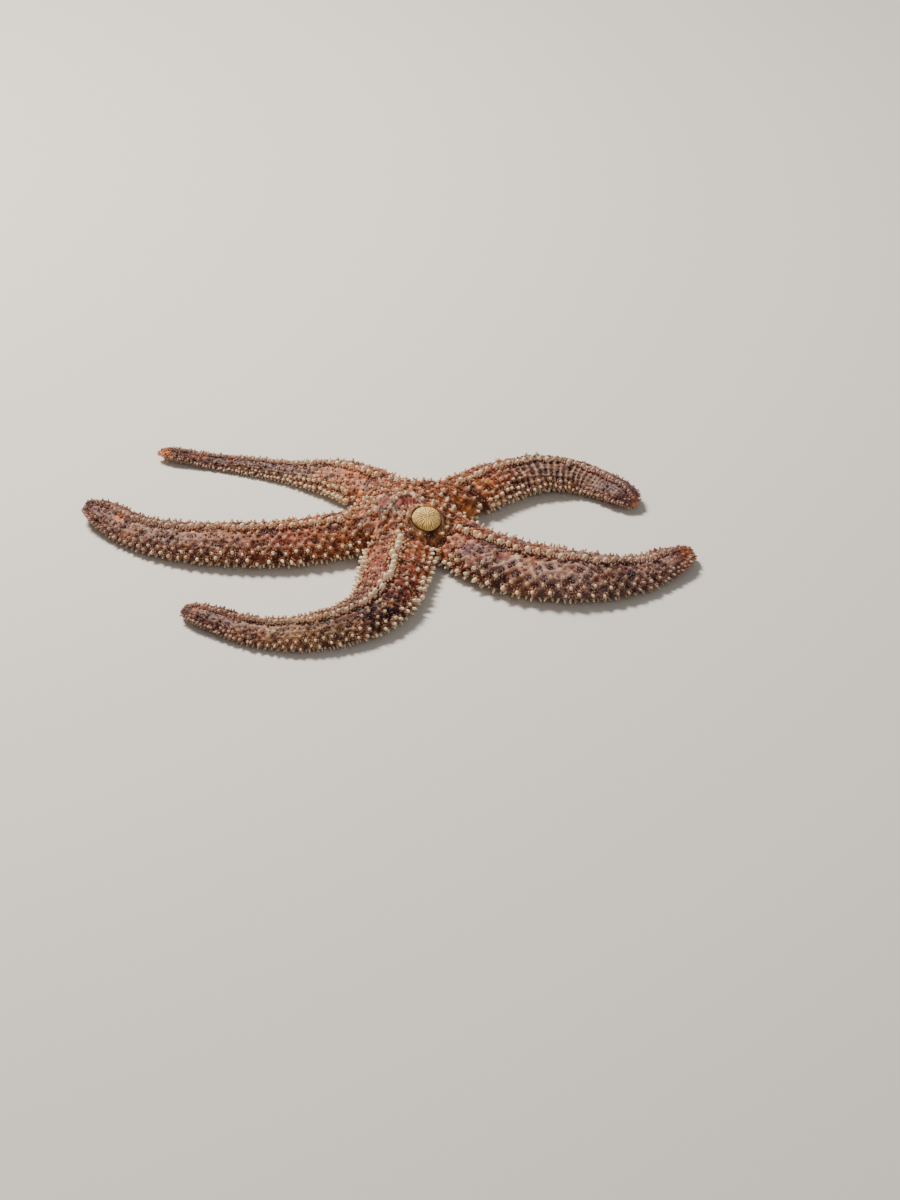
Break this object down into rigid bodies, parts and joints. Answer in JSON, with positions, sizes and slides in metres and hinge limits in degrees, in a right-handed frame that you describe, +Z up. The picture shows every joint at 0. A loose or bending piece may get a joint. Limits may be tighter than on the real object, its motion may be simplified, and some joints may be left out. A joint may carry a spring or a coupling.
{
  "type": "starfish",
  "caption": "Common starfish, a still life-size model of the living animal at rest on the floor, with knobbly tapering arms curved round a low domed disc.",
  "frame": {"origin": "on the floor, at the middle of the animal's footprint box", "axes": "+Z up from the floor to the back; +X along the animal's longest spread; -Y towards the side with the madreporite"},
  "size_m": [0.252, 0.167, 0.021],
  "materials": {
    "skin": "damp leathery skin, rust orange at the disc, mauve brown along the arms and dark maroon towards the tips, with cream spines",
    "spine": "chalky cream to pink spines",
    "sieve_plate": "chalky cream plate with fine radiating grooves",
    "mouth": "soft damp membrane and pale jaws",
    "soft_feet": "translucent damp straw-coloured tube feet",
    "eyespot": "small orange-red eyespot on a plate in the arm's colour"
  },
  "bodies": {
    "root": {"disc": "skin", "madreporite": "sieve_plate", "mouth": "mouth", "arm_1_base": "skin", "arm_1_middle": "skin", "arm_1_tip": "skin", "arm_1_terminal_plate": "eyespot", "arm_2_base": "skin", "arm_2_middle": "skin", "arm_2_tip": "skin", "arm_2_terminal_plate": "eyespot", "arm_3_base": "skin", "arm_3_middle": "skin", "arm_3_tip": "skin", "arm_3_terminal_plate": "eyespot", "arm_4_base": "skin", "arm_4_middle": "skin", "arm_4_tip": "skin", "arm_4_terminal_plate": "eyespot", "arm_5_base": "skin", "arm_5_middle": "skin", "arm_5_tip": "skin", "arm_5_terminal_plate": "eyespot"}
  },
  "joints": []
}
